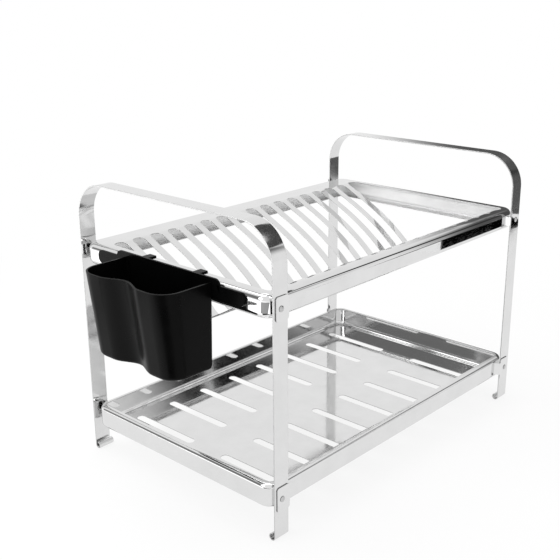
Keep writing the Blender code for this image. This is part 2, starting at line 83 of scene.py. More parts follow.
def linear(hex_colour):
    """Turn an sRGB hex colour into the linear colour that a shader takes."""
    channels = [int(hex_colour[start:start + 2], 16) / 255 for start in (1, 3, 5)]
    return tuple(c / 12.92 if c <= 0.04045 else ((c + 0.055) / 1.055) ** 2.4 for c in channels) + (1,)


def add_node(tree, kind, inputs, **settings):
    """Add a shader node with its settings, and give each input a value or the socket that feeds it."""
    node = tree.nodes.new("ShaderNode" + kind)
    for name, value in settings.items():
        setattr(node, name, value)
    for name, value in inputs.items():
        if isinstance(value, bpy.types.NodeSocket):
            tree.links.new(value, node.inputs[name])
        else:
            node.inputs[name].default_value = value
    return node


def new_material(name):
    """A material with nothing in it but its output."""
    material = bpy.data.materials.new(name)
    material.use_nodes = True
    material.node_tree.nodes.clear()
    return material, material.node_tree, material.node_tree.nodes.new("ShaderNodeOutputMaterial")


world = bpy.data.worlds.new("studio")
bpy.context.scene.world = world
world.use_nodes = True
tree = world.node_tree
tree.nodes.clear()
place = add_node(tree, "TexCoord", {})
axes = add_node(tree, "SeparateXYZ", {0: place.outputs["Generated"]})
surround_colour = linear(SURROUND)
for dim_colour, edges in DIM_SIDES:
    inside = 1
    for axis, low, high in edges:
        edge = add_node(tree, "MapRange", {"Value": axes.outputs[axis], "From Min": low,
                                           "From Max": high}, interpolation_type="SMOOTHSTEP")
        crossed = add_node(tree, "Math", {0: edge.outputs["Result"], 1: inside}, operation="MULTIPLY")
        inside = crossed.outputs[0]
    dimmed = add_node(tree, "Mix", {"Factor": inside, "A": surround_colour, "B": linear(dim_colour)},
                      data_type="RGBA")
    surround_colour = dimmed.outputs["Result"]
mirrored = add_node(tree, "Background", {"Color": surround_colour, "Strength": 1})
seen = add_node(tree, "Background", {"Color": linear("#FFFFFF"), "Strength": 1})
path = add_node(tree, "LightPath", {})
surround = add_node(tree, "MixShader", {0: path.outputs["Is Camera Ray"], 1: mirrored.outputs[0],
                                        2: seen.outputs[0]})
add_node(tree, "OutputWorld", {"Surface": surround.outputs[0]})

FLOOR_COLOUR = "#F3F3F3"
FLOOR_PALER_COLOUR = "#F6F6F6"
FLOOR_CLOUD_SIZE = 300
FLOOR_SIZE = 6000
FLOOR_DROP = 0.2
WHITE_FROM, WHITE_TO = 420, 900
NEAR_WHITE_SHARE = 0.82
LEFT_GLOW = 2.2
LEFT_GLOW_FROM, LEFT_GLOW_TO = -320, -600
material, tree, output = new_material("pale_studio_floor")
place = add_node(tree, "TexCoord", {})
reach = add_node(tree, "VectorMath", {0: place.outputs["Object"]}, operation="LENGTH")
clouds = add_node(tree, "TexNoise", {"Vector": place.outputs["Object"],
                                     "Scale": 1 / (FLOOR_CLOUD_SIZE * MM), "Detail": 2})
tint = add_node(tree, "Mix", {"Factor": clouds.outputs["Fac"], "A": linear(FLOOR_COLOUR),
                              "B": linear(FLOOR_PALER_COLOUR)}, data_type="RGBA")
paper = add_node(tree, "BsdfDiffuse", {"Color": tint.outputs["Result"]})
axes = add_node(tree, "SeparateXYZ", {0: place.outputs["Object"]})
left = add_node(tree, "MapRange", {"Value": axes.outputs["X"], "From Min": LEFT_GLOW_FROM * MM,
                                   "From Max": LEFT_GLOW_TO * MM, "To Min": 1, "To Max": LEFT_GLOW},
                interpolation_type="SMOOTHSTEP")
path = add_node(tree, "LightPath", {})
strength = add_node(tree, "Mix", {"Factor": path.outputs["Is Camera Ray"], "A": left.outputs["Result"],
                                  "B": 1.0})
glow = add_node(tree, "Emission", {"Strength": strength.outputs["Result"]})
far = add_node(tree, "MapRange", {"Value": reach.outputs["Value"], "From Min": WHITE_FROM * MM,
                                  "From Max": WHITE_TO * MM, "To Min": NEAR_WHITE_SHARE},
               interpolation_type="SMOOTHSTEP")
looked_at = add_node(tree, "Math", {0: path.outputs["Is Camera Ray"], 1: path.outputs["Is Glossy Ray"]},
                     operation="MAXIMUM")
shown = add_node(tree, "Math", {0: looked_at.outputs[0], 1: far.outputs["Result"]}, operation="MULTIPLY")
floor_shader = add_node(tree, "MixShader", {0: shown.outputs[0], 1: paper.outputs[0],
                                            2: glow.outputs[0]})
tree.links.new(floor_shader.outputs[0], output.inputs["Surface"])
bm = bmesh.new()
bmesh.ops.create_circle(bm, cap_ends=True, segments=64, radius=FLOOR_SIZE / 2 * MM)
bmesh.ops.translate(bm, verts=bm.verts, vec=(0, 0, -FLOOR_DROP * MM))


def link(name, bm, *materials):
    """Put a finished bmesh in the scene as an object with its materials."""
    mesh = bpy.data.meshes.new(name)
    bm.to_mesh(mesh)
    bm.free()
    for material in materials:
        mesh.materials.append(material)
    thing = bpy.data.objects.new(name, mesh)
    bpy.context.scene.collection.objects.link(thing)
    return thing


floor = link("studio_floor", bm, material)

# A card has a colour, a centre, a size along X and Y, and a turn about Z in degrees.
CARDS = (("front_right_card", "#050505", (915, -772, 1), (320, 454), 0),
         ("front_right_card_corner", "#FFFFFF", (771, -600, 2), (110, 50), -32.2),
         ("far_right_card", "#606060", (2010, -1150, 1), (2100, 460), -28.7),
         ("left_back_card", "#5A5A5A", (-560, 412, 1), (260, 135), 0),
         ("near_viewer_card", "#101010", (-500, -280, 1), (240, 340), 0),
         ("far_viewer_card", "#A0A0A0", (-1010, -635, 1), (780, 1270), 0),
         ("overhead_card", "#505050", (142, -296, 550), (80, 540), 25.5))
for name, colour, centre, size, turn in CARDS:
    material, tree, output = new_material(name + "_paper")
    shader = add_node(tree, "BsdfDiffuse", {"Color": linear(colour)})
    tree.links.new(shader.outputs[0], output.inputs["Surface"])
    bm = bmesh.new()
    bmesh.ops.create_grid(bm, x_segments=1, y_segments=1, size=MM / 2)
    bmesh.ops.scale(bm, verts=bm.verts, vec=(*size, 1))
    bmesh.ops.rotate(bm, verts=bm.verts, cent=(0, 0, 0),
                     matrix=Matrix.Rotation(math.radians(turn), 3, "Z"))
    bmesh.ops.translate(bm, verts=bm.verts, vec=[value * MM for value in centre])
    card = link(name, bm, material)
    card.visible_camera = False
    card.visible_diffuse = False
    card.visible_shadow = False

# A lamp has a place, its disk's diameter and a power in watts, and shines at the drainer's middle.
LAMPS = (("overhead_lamp", (-300, 500, 1700), 1300, 9),
         ("left_lamp", (-1500, 300, 900), 900, 5))
LAMP_AIM = Vector((0, 0, 150 * MM))
for name, place, size, power in LAMPS:
    lamp = bpy.data.objects.new(name, bpy.data.lights.new(name, "AREA"))
    bpy.context.scene.collection.objects.link(lamp)
    lamp.data.shape = "DISK"
    lamp.data.size = size * MM
    lamp.data.energy = power
    lamp.location = [value * MM for value in place]
    lamp.rotation_euler = (-lamp.location + LAMP_AIM).to_track_quat("-Z", "Y").to_euler()


# End frames
# Each is one flat strip of stainless steel, bent to an upside-down U and polished bright, with its
# lower ends rolled inwards as feet. The strip is cut to width before it is bent.
STRIP_WIDTH = 19.5
STRIP_THICKNESS = 1.2
STRIP_BEND_RADIUS = 39
STRIP_EDGE_ROUNDING = 0.3
STRIP_BEND_STEPS = 24
FOOT_ROLL_RADIUS = 4
FOOT_ROLL_TURN = 280
FOOT_ROLL_STEPS = 35
LEFT_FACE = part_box("left_end_frame")[0][0] / MM
RIGHT_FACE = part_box("right_end_frame")[1][0] / MM
POST_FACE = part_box("left_end_frame")[1][1] / MM
FRAME_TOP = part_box("left_end_frame")[1][2] / MM
RACK_X = (LEFT_FACE + RIGHT_FACE) / 2
LENGTH = RIGHT_FACE - LEFT_FACE
SMEAR_SIZE = 28
WAVE_LENGTH = 75
# Real polishing lines and shearing marks are finer than a tenth of a millimetre. They are drawn about
# a millimetre apart, so that they show.
POLISH_LINE_DEPTH = 0.004
POLISH_LINE_DULLING = 0.03
NICK_SIZE = 1.5
NICK_DEPTH = 0.03


def arc(centre, radius, start, end, steps):
    """Points on an arc, angles in degrees, both ends included."""
    angles = [math.radians(start + (end - start) * step / steps) for step in range(steps + 1)]
    return [(centre[0] + radius * math.cos(a), centre[1] + radius * math.sin(a)) for a in angles]


def run(bm, points, place):
    """An open run of edges through points, put in space by place."""
    verts = [bm.verts.new(place(*point)) for point in points]
    return [bm.edges.new(pair) for pair in zip(verts, verts[1:])]


def sweep(bm, edges, vec):
    """Extrude edges along a straight line."""
    grown = bmesh.ops.extrude_edge_only(bm, edges=edges)["geom"]
    verts = [item for item in grown if isinstance(item, bmesh.types.BMVert)]
    bmesh.ops.translate(bm, verts=verts, vec=vec)


def in_metres(bm):
    """Turn a mesh drawn in millimetres into metres."""
    bmesh.ops.scale(bm, vec=(MM, MM, MM), verts=bm.verts)
    return bm


def thicken(thing, thickness, offset, edge_material=0, inner_material=0):
    """Give an open surface its thickness, with its own materials on the cut edge and the inner face."""
    wall = thing.modifiers.new("wall", "SOLIDIFY")
    wall.thickness = thickness * MM
    wall.offset = offset
    wall.use_even_offset = True
    wall.material_offset_rim = edge_material
    wall.material_offset = inner_material


def soften(thing, width, segments=2, degrees=40):
    """Round every edge sharper than the given angle."""
    edges = thing.modifiers.new("edges", "BEVEL")
    edges.width = width * MM
    edges.segments = segments
    edges.limit_method = "ANGLE"
    edges.angle_limit = math.radians(degrees)


def apply_all(thing):
    """Keep the mesh that the modifiers give, and take them off."""
    shape = thing.evaluated_get(bpy.context.evaluated_depsgraph_get())
    mesh = bpy.data.meshes.new_from_object(shape)
    thing.modifiers.clear()
    thing.data = mesh


def smooth(thing, degrees=35):
    """Shade smooth, with flat faces kept flat right up to their bends."""
    thing.data.shade_smooth()
    thing.data.set_sharp_from_angle(angle=math.radians(degrees))
    normals = thing.modifiers.new("normals", "WEIGHTED_NORMAL")
    normals.keep_sharp = True
    normals.weight = 100


def stainless_steel(name, light, dark, grain, roughness, wave_height):
    """Stainless sheet, AISI 304. What it mirrors is slightly bent by the sheet's waviness, with faint
    lines along the grain and duller smears. Grain is a line's size along X, Y and Z, and roughness
    goes from the clearest places to the dullest smears."""
    material, tree, output = new_material(name)
    place = add_node(tree, "TexCoord", {})
    stretched = add_node(tree, "Mapping", {"Vector": place.outputs["Object"],
                                           "Scale": [1 / (size * MM) for size in grain]})
    lines = add_node(tree, "TexNoise", {"Vector": stretched.outputs[0], "Scale": 1, "Detail": 3})
    smears = add_node(tree, "TexNoise", {"Vector": place.outputs["Object"], "Detail": 5,
                                         "Scale": 1 / (SMEAR_SIZE * MM), "Roughness": 0.6})
    wave = add_node(tree, "TexNoise", {"Vector": place.outputs["Object"], "Detail": 1,
                                       "Scale": 1 / (WAVE_LENGTH * MM)})
    colour = add_node(tree, "Mix", {"Factor": smears.outputs["Fac"], "A": linear(light),
                                    "B": linear(dark)}, data_type="RGBA")
    base = add_node(tree, "MapRange", {"Value": smears.outputs["Fac"], "From Min": 0.3, "From Max": 0.75,
                                       "To Min": roughness[0], "To Max": roughness[1]})
    rough = add_node(tree, "Math", {0: lines.outputs["Fac"], 1: POLISH_LINE_DULLING,
                                    2: base.outputs["Result"]}, operation="MULTIPLY_ADD")
    bent = add_node(tree, "Bump", {"Height": wave.outputs["Fac"], "Distance": wave_height * MM,
                                   "Strength": 1})
    lined = add_node(tree, "Bump", {"Height": lines.outputs["Fac"], "Distance": POLISH_LINE_DEPTH * MM,
                                    "Strength": 1, "Normal": bent.outputs[0]})
    shader = add_node(tree, "BsdfPrincipled",
                      {"Base Color": colour.outputs["Result"], "Metallic": 1,
                       "Roughness": rough.outputs[0], "Normal": lined.outputs[0]})
    tree.links.new(shader.outputs[0], output.inputs["Surface"])
    return material


def cut_steel(name):
    """The sheared edge of the sheet, fine-ground after punching: greyer and duller than the faces."""
    material, tree, output = new_material(name)
    place = add_node(tree, "TexCoord", {})
    nicks = add_node(tree, "TexNoise", {"Vector": place.outputs["Object"],
                                        "Scale": 1 / (NICK_SIZE * MM), "Detail": 3})
    colour = add_node(tree, "Mix", {"Factor": nicks.outputs["Fac"], "A": linear("#D0D0D0"),
                                    "B": linear("#AEAEAE")}, data_type="RGBA")
    rough = add_node(tree, "MapRange", {"Value": nicks.outputs["Fac"], "To Min": 0.22, "To Max": 0.4})
    worn = add_node(tree, "Bump", {"Height": nicks.outputs["Fac"], "Distance": NICK_DEPTH * MM,
                                   "Strength": 1})
    shader = add_node(tree, "BsdfPrincipled",
                      {"Base Color": colour.outputs["Result"], "Metallic": 1,
                       "Roughness": rough.outputs[0], "Normal": worn.outputs[0]})
    tree.links.new(shader.outputs[0], output.inputs["Surface"])
    return material


strip_steel = stainless_steel("bright_strip_steel", "#E4E4E4", "#D6D6D6", grain=(60, 0.8, 60),
                              roughness=(0.04, 0.12), wave_height=0.06)
edge_steel = cut_steel("sheared_steel_edge")
half = STRIP_THICKNESS / 2
roll = FOOT_ROLL_RADIUS - half
foot_centre = (-POST_FACE + FOOT_ROLL_RADIUS, FOOT_ROLL_RADIUS)
strip_path = arc(foot_centre, roll, 180 + FOOT_ROLL_TURN, 180, FOOT_ROLL_STEPS)
bend_centre = (-POST_FACE + STRIP_BEND_RADIUS, FRAME_TOP - STRIP_BEND_RADIUS)
strip_path += arc(bend_centre, STRIP_BEND_RADIUS - half, 180, 90, STRIP_BEND_STEPS)
strip_path += [(-y, z) for y, z in reversed(strip_path)]
for node, face, side in (("left_end_frame", LEFT_FACE, -1), ("right_end_frame", RIGHT_FACE, 1)):
    bm = bmesh.new()
    edges = run(bm, strip_path, lambda y, z: (face, y, z))
    sweep(bm, edges, (-side * STRIP_WIDTH, 0, 0))
    bmesh.ops.recalc_face_normals(bm, faces=bm.faces)
    strip = link(node + "_strip", in_metres(bm), strip_steel, edge_steel)
    thicken(strip, STRIP_THICKNESS, 0, edge_material=1)
    soften(strip, STRIP_EDGE_ROUNDING)
    smooth(strip)
    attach(strip, "drainer")
    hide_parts(node)


# Lower tray
# One pressed sheet of the same bright stainless steel: two rows of round-ended slots punched in its
# floor, a wall folded up all round with its lip turned in, and an ear joggled out over each post.
SHEET_THICKNESS = 0.8
SHEET_EDGE_ROUNDING = 0.22
CORNER_RADIUS = 15
CORNER_STEPS = 10
FOLD_STEPS = 8
SLOT_END_STEPS = 14
WALL_INSET = 5
TRAY_FACE = POST_FACE - WALL_INSET
TRAY_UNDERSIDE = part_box("lower_tray")[0][2] / MM
TRAY_WALL_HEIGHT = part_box("lower_tray")[1][2] / MM - TRAY_UNDERSIDE
TRAY_FLOOR_BEND = 6
TRAY_LIP_BEND = 5
TRAY_LIP_WIDTH = 2
TRAY_SLOT_PITCH = 50
TRAY_SLOT_WIDTH = 10
TRAY_END_BORDER = 40
TRAY_SIDE_BORDER = 25
TRAY_MIDDLE_BAND = 46
EAR_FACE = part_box("lower_tray")[1][1] / MM
EAR_END_INSET = 2.9
EAR_END_ROUNDING = 3
EAR_END_STEPS = 8
EAR_JOG_CLEARANCE = 0.6
EAR_JOG_RUN = 5
EAR_JOG_STEPS = 8
EAR_ROOT_LENGTH = 6
EAR_ROOT_STEP = 0.05
RIVET_HOLE_RADIUS = 1.9
ROUND_STEPS = 32
MERGE_DISTANCE = 0.01
SIDES = (-1, 1)


def closed_loop(bm, points, place):
    """A closed loop of edges through points, put in space by place."""
    verts = [bm.verts.new(place(*point)) for point in points]
    return [bm.edges.new((verts[i - 1], verts[i])) for i in range(len(verts))]


def rounded_rectangle(half_x, half_y, radius, steps):
    """Points round a rectangle with round corners, each corner in a number of steps."""
    points = []
    for quarter, (sign_x, sign_y) in enumerate(((1, 1), (-1, 1), (-1, -1), (1, -1))):
        centre = (sign_x * (half_x - radius), sign_y * (half_y - radius))
        points += arc(centre, radius, 90 * quarter, 90 * quarter + 90, steps)
    return points


def round_slot(centre_x, centre_y, width, length):
    """A slot with round ends, long along Y."""
    radius = width / 2
    reach = length / 2 - radius
    points = arc((centre_x, centre_y + reach), radius, 0, 180, SLOT_END_STEPS)
    return points + arc((centre_x, centre_y - reach), radius, 180, 360, SLOT_END_STEPS)


def spread(span, wanted_pitch):
    """Places spaced evenly over a span, as near to the wanted pitch as fits."""
    gaps = round(span / wanted_pitch)
    return [span * step / gaps - span / 2 for step in range(gaps + 1)]


def punched_sheet(half_x, half_y, radius, slots, height):
    """A flat sheet with round corners and slots, as an open surface at one height."""
    bm = bmesh.new()
    edges = closed_loop(bm, rounded_rectangle(half_x, half_y, radius, CORNER_STEPS),
                        lambda x, y: (RACK_X + x, y, height))
    for slot in slots:
        edges += closed_loop(bm, slot, lambda x, y: (RACK_X + x, y, height))
    bmesh.ops.triangle_fill(bm, edges=edges, use_beauty=True, normal=Vector((0, 0, 1)))
    return bm


def way_from_core(point, half_x, half_y, radius):
    """The way, in plan, to a point from the sheet's core, which lies a corner radius inside its edge."""
    core_x = half_x - radius
    core_y = half_y - radius
    x = point.x - RACK_X
    nearest = Vector((max(-core_x, min(core_x, x)), max(-core_y, min(core_y, point.y))))
    return Vector((x, point.y)) - nearest


def fold_rim(bm, half_x, half_y, radius, profile):
    """Fold the sheet's border through a profile of outward and upward steps."""
    ways = {vert: way_from_core(vert.co, half_x, half_y, radius) for vert in bm.verts}
    rim = [edge for edge in bm.edges if edge.is_boundary
           and all(ways[vert].length > radius - MERGE_DISTANCE for vert in edge.verts)]
    starts = {vert: (vert.co.copy(), ways[vert].normalized()) for edge in rim for vert in edge.verts}
    for outward, upward in profile:
        grown = bmesh.ops.extrude_edge_only(bm, edges=rim)["geom"]
        rim = [item for item in grown if isinstance(item, bmesh.types.BMEdge) and item.is_boundary]
        moved = {}
        for vert in {vert for edge in rim for vert in edge.verts}:
            source = next(edge.other_vert(vert) for edge in vert.link_edges
                          if edge.other_vert(vert) in starts)
            place, normal = starts[source]
            vert.co = place + Vector((*(normal * outward), upward))
            moved[vert] = (place, normal)
        starts = moved


def rim_profile(bend, wall_height, lip_bend, lip_width, upward):
    """Outward and upward steps of a folded rim: bend, wall, second bend and a turned-in lip."""
    steps = [(outward, rise) for outward, rise in arc((0, bend), bend, -90, 0, FOLD_STEPS)[1:]]
    lip_centre = (bend - lip_bend, wall_height - lip_bend)
    steps += arc(lip_centre, lip_bend, 0, 90, FOLD_STEPS)
    steps.append((lip_centre[0] - lip_width, wall_height))
    return [(outward, rise * upward) for outward, rise in steps]


def face_out(bm, probe, is_outward):
    """Turn an open surface over if the face that the probe picks fails the test."""
    bmesh.ops.recalc_face_normals(bm, faces=bm.faces)
    bm.normal_update()
    if not is_outward(probe(bm.faces, key=lambda face: face.calc_center_median().z).normal):
        bmesh.ops.reverse_faces(bm, faces=bm.faces)


def combine(thing, other, operation):
    """Join a solid to a piece, or cut it out of the piece, and drop the solid."""
    change = thing.modifiers.new("combine", "BOOLEAN")
    change.operation = operation
    change.solver = "EXACT"
    change.object = other
    apply_all(thing)
    bpy.data.objects.remove(other, do_unlink=True)


def add_ears(tray, wall_face, levels, flat_levels):
    """Join an ear to a tray at each post, as a neck and a taller plate, and drill it for its rivet."""
    end = LENGTH / 2 - EAR_END_INSET
    jog_out = LENGTH / 2 - STRIP_WIDTH - EAR_JOG_CLEARANCE
    jog_in = jog_out - EAR_JOG_RUN
    root_face = wall_face + EAR_ROOT_STEP
    columns = [(jog_in - EAR_ROOT_LENGTH, 0)]
    columns += [(jog_in + EAR_JOG_RUN * step / EAR_JOG_STEPS, step / EAR_JOG_STEPS)
                for step in range(EAR_JOG_STEPS + 1)]
    outline = ((jog_out, levels[0]), (end, levels[0]), (end, levels[1]), (jog_out, levels[1]))
    for side_x in SIDES:
        for side_y in SIDES:
            bm = bmesh.new()
            rows = []
            for x, share in columns:
                ease = (1 - math.cos(math.pi * share)) / 2
                y = side_y * (root_face + (EAR_FACE - root_face) * ease)
                row = run(bm, [(z,) for z in flat_levels], lambda z: (RACK_X + side_x * x, y, z))
                rows.append(row[0])
            for first, second in zip(rows, rows[1:]):
                bmesh.ops.bridge_loops(bm, edges=[first, second])
            neck_low, neck_high = sorted(rows[-1].verts, key=lambda vert: vert.co.z)
            corners = [bm.verts.new((RACK_X + side_x * x, side_y * EAR_FACE, z)) for x, z in outline]
            bm.faces.new([neck_low, *corners, neck_high])
            bmesh.ops.bevel(bm, geom=corners, offset=EAR_END_ROUNDING, segments=EAR_END_STEPS,
                            profile=0.5, affect="VERTICES", material=-1)
            face_out(bm, max, lambda normal: normal.y * side_y > 0)
            ear = link("ear", in_metres(bm), *tray.data.materials)
            thicken(ear, SHEET_THICKNESS, -1, edge_material=1)
            soften(ear, SHEET_EDGE_ROUNDING)
            apply_all(ear)
            combine(tray, ear, "UNION")
            bm = bmesh.new()
            turn = Matrix.Rotation(math.pi / 2, 4, "X")
            bmesh.ops.create_cone(bm, cap_ends=True, segments=ROUND_STEPS, radius1=RIVET_HOLE_RADIUS,
                                  radius2=RIVET_HOLE_RADIUS, depth=2 * EAR_JOG_RUN, matrix=turn)
            centre_x = RACK_X + side_x * (LENGTH - STRIP_WIDTH) / 2
            bmesh.ops.translate(bm, verts=bm.verts, vec=(centre_x, side_y * EAR_FACE, sum(levels) / 2))
            combine(tray, link("rivet_hole", in_metres(bm)), "DIFFERENCE")


tray_steel = stainless_steel("bright_pressed_steel", "#E6E6E6", "#D8D8D8", grain=(50, 1.2, 50),
                             roughness=(0.03, 0.1), wave_height=0.16)
half_x = LENGTH / 2 - TRAY_FLOOR_BEND
half_y = TRAY_FACE - TRAY_FLOOR_BEND
radius = CORNER_RADIUS - TRAY_FLOOR_BEND
slot_length = POST_FACE - TRAY_MIDDLE_BAND / 2 - TRAY_SIDE_BORDER
row_offset = (TRAY_MIDDLE_BAND + slot_length) / 2
slot_span = LENGTH - 2 * TRAY_END_BORDER - TRAY_SLOT_WIDTH
slots = [round_slot(x, side * row_offset, TRAY_SLOT_WIDTH, slot_length)
         for x in spread(slot_span, TRAY_SLOT_PITCH) for side in SIDES]
bm = punched_sheet(half_x, half_y, radius, slots, TRAY_UNDERSIDE)
fold_rim(bm, half_x, half_y, radius,
         rim_profile(TRAY_FLOOR_BEND, TRAY_WALL_HEIGHT, TRAY_LIP_BEND, TRAY_LIP_WIDTH, 1))
face_out(bm, min, lambda normal: normal.z < 0)
tray = link("lower_tray_sheet", in_metres(bm), tray_steel, edge_steel)
thicken(tray, SHEET_THICKNESS, -1, edge_material=1)
soften(tray, SHEET_EDGE_ROUNDING)
apply_all(tray)
add_ears(tray, TRAY_FACE, (TRAY_UNDERSIDE, TRAY_UNDERSIDE + TRAY_WALL_HEIGHT),
         (TRAY_UNDERSIDE + TRAY_FLOOR_BEND, TRAY_UNDERSIDE + TRAY_WALL_HEIGHT - TRAY_LIP_BEND))
smooth(tray)
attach(tray, "drainer")
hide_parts("lower_tray")


# Upper rack
# The second pressed sheet: a border folded down all round, seventeen long slots punched across it and
# the slats between them pressed down in a die. Only its upper face is polished bright. The underside,
# and with it the rim's inside, keeps the mill's satin finish and shows soft greys.
RACK_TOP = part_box("upper_rack")[1][2] / MM
RACK_FACE = POST_FACE - WALL_INSET
RACK_WALL_HEIGHT = 24
RACK_RIM_BEND = 7.5
RACK_LIP_BEND = 6.5
RACK_LIP_WIDTH = 4
RACK_SLOT_PITCH = 24.9
RACK_SLOT_WIDTH = 15.4
RACK_END_BORDER = 13.1
RACK_FRONT_LAND = 2
RACK_BACK_LAND = 24.5
DIP_DEPTH = 67
DIP_LOWEST_OFFSET = 5
DIP_FRONT_FLAT = 4
DIP_BACK_FLAT = 4
DIP_ROUNDING = 4
DIP_STATIONS = 72
DIP_BACK_LINEAR_SHARE = 0.75
DIP_BACK_POWER = 3.2
DIP_FRONT_POWER = 1.05
DIP_SAMPLES = 8


def sharp_dip(y, front, back):
    """How far a slat lies below the rack's top, before the die's edges round it."""
    lowest = -DIP_LOWEST_OFFSET
    if y > lowest:
        left = 1 - min((y - lowest) / (back - lowest), 1)
        curved_share = 1 - DIP_BACK_LINEAR_SHARE
        return DIP_DEPTH * (DIP_BACK_LINEAR_SHARE * left + curved_share * left ** DIP_BACK_POWER)
    return DIP_DEPTH * (1 - min((lowest - y) / (lowest - front), 1) ** DIP_FRONT_POWER)


def rounded_dip(y, front, back):
    """The dip with the die's rounding, as the mean of the sharp dip on both sides of a place."""
    near = [y + DIP_ROUNDING * sample / DIP_SAMPLES for sample in range(-DIP_SAMPLES, DIP_SAMPLES + 1)]
    return sum(sharp_dip(place, front, back) for place in near) / len(near)


def press_slats(bm, slat_reach, front, back):
    """Cut the slats across at each station and press them down along the dip."""
    start = front - DIP_ROUNDING
    end = back + DIP_ROUNDING
    for station in range(DIP_STATIONS + 1):
        y = start + (end - start) * station / DIP_STATIONS
        faces = [face for face in bm.faces if abs(face.calc_center_median().x - RACK_X) < slat_reach]
        edges = {edge for face in faces for edge in face.edges}
        verts = {vert for edge in edges for vert in edge.verts}
        bmesh.ops.bisect_plane(bm, geom=[*faces, *edges, *verts], dist=MERGE_DISTANCE,
                               plane_co=(0, y, 0), plane_no=(0, 1, 0))
    for vert in bm.verts:
        if abs(vert.co.x - RACK_X) < slat_reach and start < vert.co.y < end:
            vert.co.z -= rounded_dip(vert.co.y, front, back)


rack_steel = stainless_steel("bright_rack_steel", "#E6E6E6", "#D6D6D6", grain=(50, 1.2, 50),
                             roughness=(0.0, 0.05), wave_height=0.07)
underside_steel = stainless_steel("satin_underside_steel", "#F2F2F2", "#E6E6E6", grain=(50, 1.2, 50),
                                  roughness=(0.4, 0.5), wave_height=0.07)
half_x = LENGTH / 2 - RACK_RIM_BEND
half_y = RACK_FACE - RACK_RIM_BEND
radius = CORNER_RADIUS - RACK_RIM_BEND
slot_front = RACK_FRONT_LAND - half_y
slot_back = half_y - RACK_BACK_LAND
slot_span = LENGTH - 2 * RACK_END_BORDER - RACK_SLOT_WIDTH
slots = [round_slot(x, (slot_front + slot_back) / 2, RACK_SLOT_WIDTH, slot_back - slot_front)
         for x in spread(slot_span, RACK_SLOT_PITCH)]
bm = punched_sheet(half_x, half_y, radius, slots, RACK_TOP)
press_slats(bm, slot_span / 2, slot_front + DIP_FRONT_FLAT, slot_back - DIP_BACK_FLAT)
fold_rim(bm, half_x, half_y, radius,
         rim_profile(RACK_RIM_BEND, RACK_WALL_HEIGHT, RACK_LIP_BEND, RACK_LIP_WIDTH, -1))
face_out(bm, max, lambda normal: normal.z > 0)
rack = link("upper_rack_sheet", in_metres(bm), rack_steel, edge_steel, underside_steel)
thicken(rack, SHEET_THICKNESS, -1, edge_material=1, inner_material=2)
soften(rack, SHEET_EDGE_ROUNDING)
apply_all(rack)
add_ears(rack, RACK_FACE, (RACK_TOP - RACK_WALL_HEIGHT, RACK_TOP),
         (RACK_TOP - RACK_WALL_HEIGHT + RACK_LIP_BEND, RACK_TOP - RACK_RIM_BEND))
smooth(rack)
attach(rack, "drainer")
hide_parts("upper_rack")


# Rivets
# Eight small stainless rivets, one through each ear and post: a low round head outside, and the tail
# set flat inside the post. They are finished by tumbling, so they are duller than the strip and finely
# dented. The dents are drawn coarser than they are, so that they show.
RIVET_SHANK_RADIUS = 1.6
RIVET_HEAD_RADIUS = 3.1
RIVET_HEAD_HEIGHT = 0.9
RIVET_TAIL_RADIUS = 2.6
RIVET_TAIL_HEIGHT = 0.8
RIVET_HEAD_STEPS = 8
RIVET_SHADING_ANGLE = 40
DENT_SIZE = 1.2
DENT_DEPTH = 0.03
FIT_GAP = 0.3

material, tree, output = new_material("tumbled_rivet_steel")
place = add_node(tree, "TexCoord", {})
dents = add_node(tree, "TexNoise", {"Vector": place.outputs["Object"], "Scale": 1 / (DENT_SIZE * MM),
                                    "Detail": 3})
colour = add_node(tree, "Mix", {"Factor": dents.outputs["Fac"], "A": linear("#D0D0D0"),
                                "B": linear("#B0B0B0")}, data_type="RGBA")
rough = add_node(tree, "MapRange", {"Value": dents.outputs["Fac"], "To Min": 0.2, "To Max": 0.34})
dented = add_node(tree, "Bump", {"Height": dents.outputs["Fac"], "Distance": DENT_DEPTH * MM,
                                 "Strength": 1})
shader = add_node(tree, "BsdfPrincipled",
                  {"Base Color": colour.outputs["Result"], "Metallic": 1,
                   "Roughness": rough.outputs[0], "Normal": dented.outputs[0]})
tree.links.new(shader.outputs[0], output.inputs["Surface"])
rivet_steel = material

